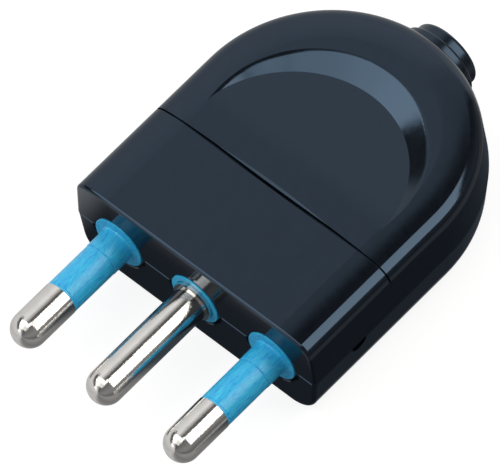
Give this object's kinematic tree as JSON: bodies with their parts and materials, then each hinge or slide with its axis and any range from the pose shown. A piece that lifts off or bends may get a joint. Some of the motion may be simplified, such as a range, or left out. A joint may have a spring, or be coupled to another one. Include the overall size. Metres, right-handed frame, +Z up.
{
  "type": "electrical plug",
  "caption": "Rewireable flat mains plug with a straight row of round pins, sleeved live pins, a D-shaped two-part housing and a round cable outlet.",
  "frame": {"origin": "on the flat underside, in the middle of the overall length and width", "axes": "+X along the row of pins, +Y from the pins to the cable outlet, +Z up from the underside"},
  "size_m": [0.0404, 0.067, 0.016],
  "materials": {
    "housing_black": "glossy black moulded thermoset",
    "grommet_black": "glossy black moulded plastic",
    "clamp_black": "plain black moulded plastic",
    "sleeve_blue": "light blue moulded plastic with a fine lengthwise grain",
    "pin_nickel": "bright nickel plate over turned brass",
    "plated_steel": "bright zinc plate",
    "insert_brass": "plain turned brass"
  },
  "bodies": {
    "root": {"upper_shell": "housing_black", "lower_shell": "housing_black", "left_live_pin": "pin_nickel", "earth_pin": "pin_nickel", "right_live_pin": "pin_nickel", "left_live_sleeve": "sleeve_blue", "right_live_sleeve": "sleeve_blue", "earth_collar": "sleeve_blue", "left_live_clamping_plate": "plated_steel", "earth_clamping_plate": "plated_steel", "right_live_clamping_plate": "plated_steel", "left_live_terminal_screw": "plated_steel", "earth_terminal_screw": "plated_steel", "right_live_terminal_screw": "plated_steel", "cable_grommet": "grommet_black", "cord_clamp": "clamp_black", "left_clamp_screw": "plated_steel", "right_clamp_screw": "plated_steel", "left_assembly_screw": "plated_steel", "right_assembly_screw": "plated_steel", "left_threaded_insert": "insert_brass", "right_threaded_insert": "insert_brass"}
  },
  "joints": []
}
